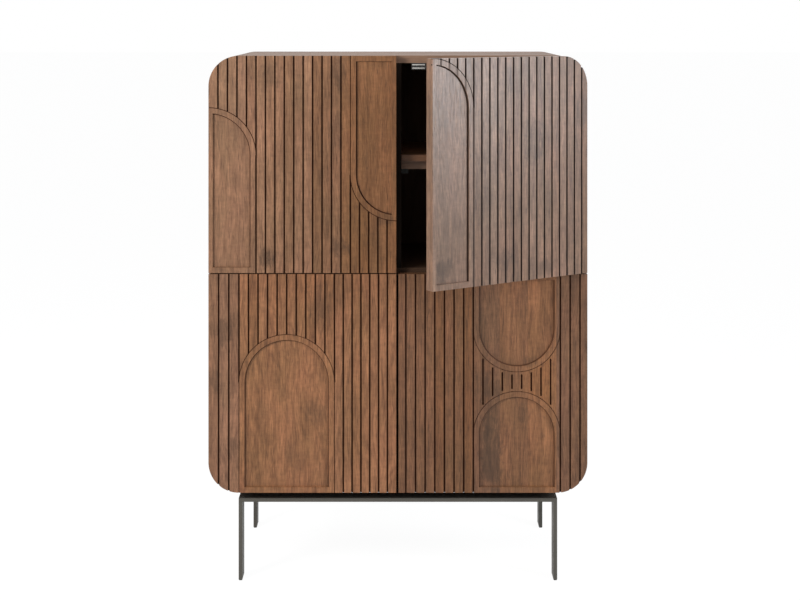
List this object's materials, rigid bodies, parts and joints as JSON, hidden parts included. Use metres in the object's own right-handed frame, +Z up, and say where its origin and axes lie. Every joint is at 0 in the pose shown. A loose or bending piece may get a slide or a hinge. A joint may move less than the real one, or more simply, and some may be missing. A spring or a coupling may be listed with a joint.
{
  "type": "cabinet",
  "caption": "Free-standing cabinet with rounded corners, slatted doors carved with sunk arch fields, bent-link concealed hinges, shelves and a slim flat-bar steel leg frame",
  "frame": {"origin": "on the floor, under the middle of the part's bounding box as it stands with the upper right door ajar", "axes": "+X to the viewer's right along the width, +Y from the doors to the back, +Z up"},
  "size_m": [1.0003, 0.7634, 1.392],
  "materials": {
    "wood_upper_left": "oiled brown hardwood, satin",
    "wood_upper_right": "oiled brown hardwood, satin",
    "wood_lower_left": "oiled brown hardwood, satin",
    "wood_lower_right": "oiled brown hardwood, satin",
    "carcass_wood": "brown hardwood veneer, satin",
    "interior_wood": "brown hardwood veneer, satin",
    "nickel": "nickel-plated steel",
    "black_plastic": "moulded, fine matt",
    "painted_steel": "dark grey-brown powder coat",
    "glide_plastic": "moulded, matt"
  },
  "bodies": {
    "carcass": {"back_panel": "interior_wood", "bottom_panel": "carcass_wood", "catch_pole_plates": "nickel", "corner_bottom_left": "carcass_wood", "corner_bottom_right": "carcass_wood", "corner_top_left": "carcass_wood", "corner_top_right": "carcass_wood", "divider_lower": "interior_wood", "divider_upper": "interior_wood", "frame_bolts": "painted_steel", "frame_rail_front": "painted_steel", "frame_rail_left": "painted_steel", "frame_rail_middle": "painted_steel", "frame_rail_rear": "painted_steel", "frame_rail_right": "painted_steel", "frame_standoffs": "painted_steel", "hinge_arm_pins": "nickel", "hinge_arms": "nickel", "hinge_mounting_plates": "nickel", "leg_front_left": "painted_steel", "leg_front_right": "painted_steel", "leg_glides": "glide_plastic", "leg_rear_left": "painted_steel", "leg_rear_right": "painted_steel", "magnetic_catch_housings": "black_plastic", "middle_panel": "interior_wood", "shelf_lower_left": "interior_wood", "shelf_lower_right": "interior_wood", "shelf_rail_lower_left": "interior_wood", "shelf_rail_lower_right": "interior_wood", "shelf_rail_upper_left": "interior_wood", "shelf_rail_upper_right": "interior_wood", "shelf_supports": "interior_wood", "shelf_upper_left": "interior_wood", "shelf_upper_right": "interior_wood", "side_panel_left": "carcass_wood", "side_panel_right": "carcass_wood", "top_panel": "carcass_wood"},
    "upper_left_links": {"hinge_links_upper_left": "nickel"},
    "upper_left_door": {"door_upper_left": "wood_upper_left", "hinge_cups_upper_left": "nickel", "cup_pins_upper_left": "nickel", "strike_plate_upper_left": "nickel"},
    "upper_right_links": {"hinge_links_upper_right": "nickel"},
    "upper_right_door": {"door_upper_right": "wood_upper_right", "hinge_cups_upper_right": "nickel", "cup_pins_upper_right": "nickel", "strike_plate_upper_right": "nickel"},
    "lower_left_links": {"hinge_links_lower_left": "nickel"},
    "lower_left_door": {"door_lower_left": "wood_lower_left", "hinge_cups_lower_left": "nickel", "cup_pins_lower_left": "nickel", "strike_plate_lower_left": "nickel"},
    "lower_right_links": {"hinge_links_lower_right": "nickel"},
    "lower_right_door": {"door_lower_right": "wood_lower_right", "hinge_cups_lower_right": "nickel", "cup_pins_lower_right": "nickel", "strike_plate_lower_right": "nickel"}
  },
  "joints": [
    {"name": "upper_left_link_swing", "type": "hinge", "parent": "carcass", "child": "upper_left_links", "pos_m": [-0.46867, -0.06465, 1.103], "axis": [0, 0, -1], "range_deg": [-70.61, 0]},
    {"name": "upper_left_swing", "type": "hinge", "parent": "upper_left_links", "child": "upper_left_door", "pos_m": [-0.48909, -0.08525, 1.103], "axis": [0, 0, -1], "range_deg": [0, 165.59]},
    {"name": "upper_right_link_swing", "type": "hinge", "parent": "carcass", "child": "upper_right_links", "pos_m": [0.46867, -0.06465, 1.103], "axis": [0, 0, 1], "range_deg": [-45.57, 25.06]},
    {"name": "upper_right_swing", "type": "hinge", "parent": "upper_right_links", "child": "upper_right_door", "pos_m": [0.47845, -0.09195, 1.103], "axis": [0, 0, 1], "range_deg": [-58.74, 106.85]},
    {"name": "lower_left_link_swing", "type": "hinge", "parent": "carcass", "child": "lower_left_links", "pos_m": [-0.46867, -0.06465, 0.528], "axis": [0, 0, -1], "range_deg": [-70.61, 0]},
    {"name": "lower_left_swing", "type": "hinge", "parent": "lower_left_links", "child": "lower_left_door", "pos_m": [-0.48909, -0.08525, 0.528], "axis": [0, 0, -1], "range_deg": [0, 165.59]},
    {"name": "lower_right_link_swing", "type": "hinge", "parent": "carcass", "child": "lower_right_links", "pos_m": [0.46867, -0.06465, 0.528], "axis": [0, 0, 1], "range_deg": [-70.61, 0]},
    {"name": "lower_right_swing", "type": "hinge", "parent": "lower_right_links", "child": "lower_right_door", "pos_m": [0.48909, -0.08525, 0.528], "axis": [0, 0, 1], "range_deg": [0, 165.59]}
  ],
  "couplings": [
    {"joint": "upper_left_link_swing", "follows": "upper_left_swing", "ratio": -0.42628},
    {"joint": "upper_right_link_swing", "follows": "upper_right_swing", "ratio": -0.42628},
    {"joint": "lower_left_link_swing", "follows": "lower_left_swing", "ratio": -0.42628},
    {"joint": "lower_right_link_swing", "follows": "lower_right_swing", "ratio": -0.42628}
  ]
}
